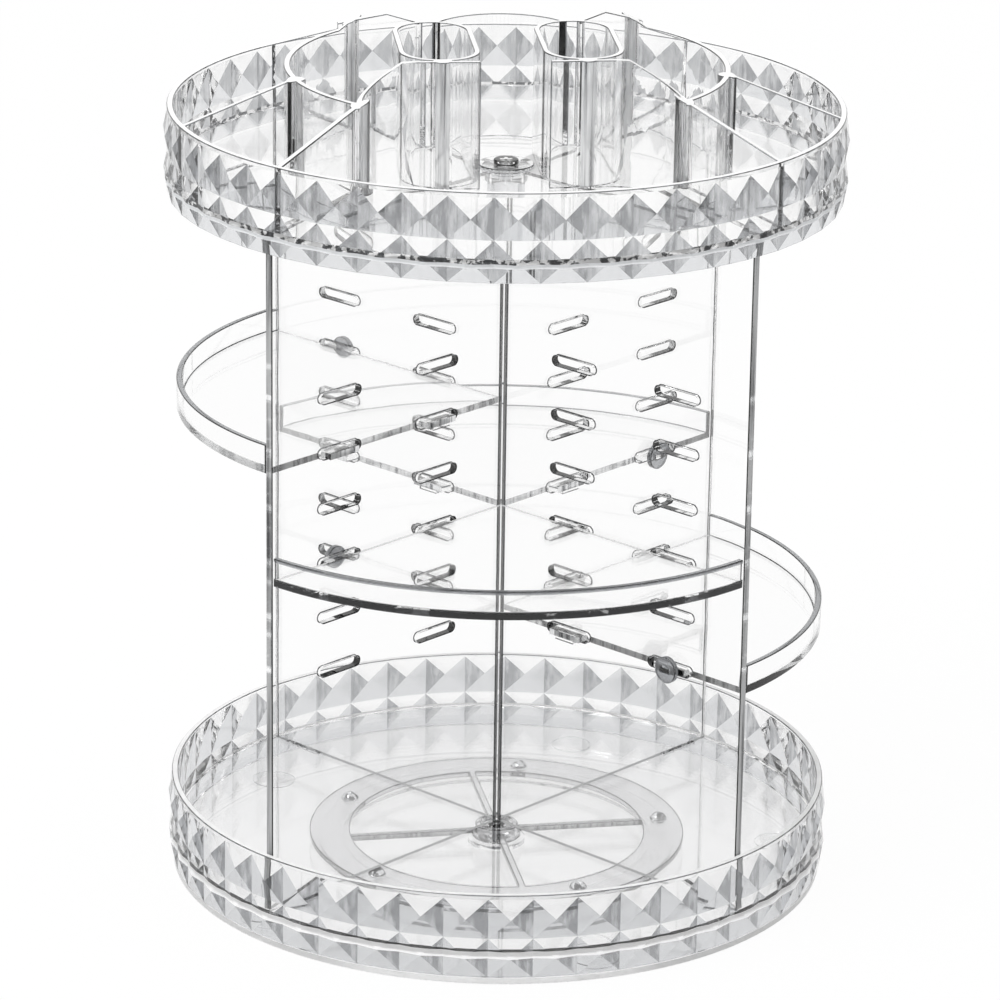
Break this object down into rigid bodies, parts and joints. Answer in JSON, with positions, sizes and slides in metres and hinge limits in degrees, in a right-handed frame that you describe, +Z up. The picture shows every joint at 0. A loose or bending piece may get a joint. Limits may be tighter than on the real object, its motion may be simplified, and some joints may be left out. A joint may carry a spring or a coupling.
{
  "type": "rotating makeup organizer",
  "caption": "Clear round carousel for make-up: faceted base and top trays, slotted upright panels in a cross and quarter-round shelf trays, turning on a ball bearing over a flat foot.",
  "frame": {"origin": "on the turning axis, at the level of the surface that the organizer stands on", "axes": "+Z up along the turning axis, -Y towards the front, +X to the right seen from the front"},
  "size_m": [0.2292, 0.2292, 0.2917],
  "materials": {
    "clear_plastic": "polished, clear",
    "cage_plastic": "frosted, clear",
    "lock_plastic": "satin",
    "ball_steel": "polished",
    "screw_steel": "plated",
    "pad_rubber": "matt"
  },
  "bodies": {
    "foot": {"foot_disc": "clear_plastic", "foot_pads": "pad_rubber"},
    "ball_ring": {"ball_cage": "cage_plastic", "bearing_balls": "ball_steel"},
    "carousel": {"pivot_washer": "screw_steel", "pivot_screw": "screw_steel", "base_tray": "clear_plastic", "panel_front_left": "clear_plastic", "panel_front_right": "clear_plastic", "panel_back_right": "clear_plastic", "panel_back_left": "clear_plastic", "top_hub": "clear_plastic", "top_tray": "clear_plastic", "top_screw": "clear_plastic", "shelf_front": "clear_plastic", "lock_disc_front": "lock_plastic", "shelf_right": "clear_plastic", "lock_disc_right": "lock_plastic", "shelf_back": "clear_plastic", "lock_disc_back": "lock_plastic", "shelf_left": "clear_plastic", "lock_disc_left": "lock_plastic"}
  },
  "joints": [
    {"name": "carousel_spin", "type": "hinge", "parent": "foot", "child": "carousel", "pos_m": [0, 0, 0.006], "axis": [0, 0, 1], "continuous": true},
    {"name": "ball_ring_spin", "type": "hinge", "parent": "foot", "child": "ball_ring", "pos_m": [0, 0, 0.006], "axis": [0, 0, 1], "continuous": true}
  ],
  "couplings": [
    {"joint": "ball_ring_spin", "follows": "carousel_spin", "ratio": 0.5}
  ]
}
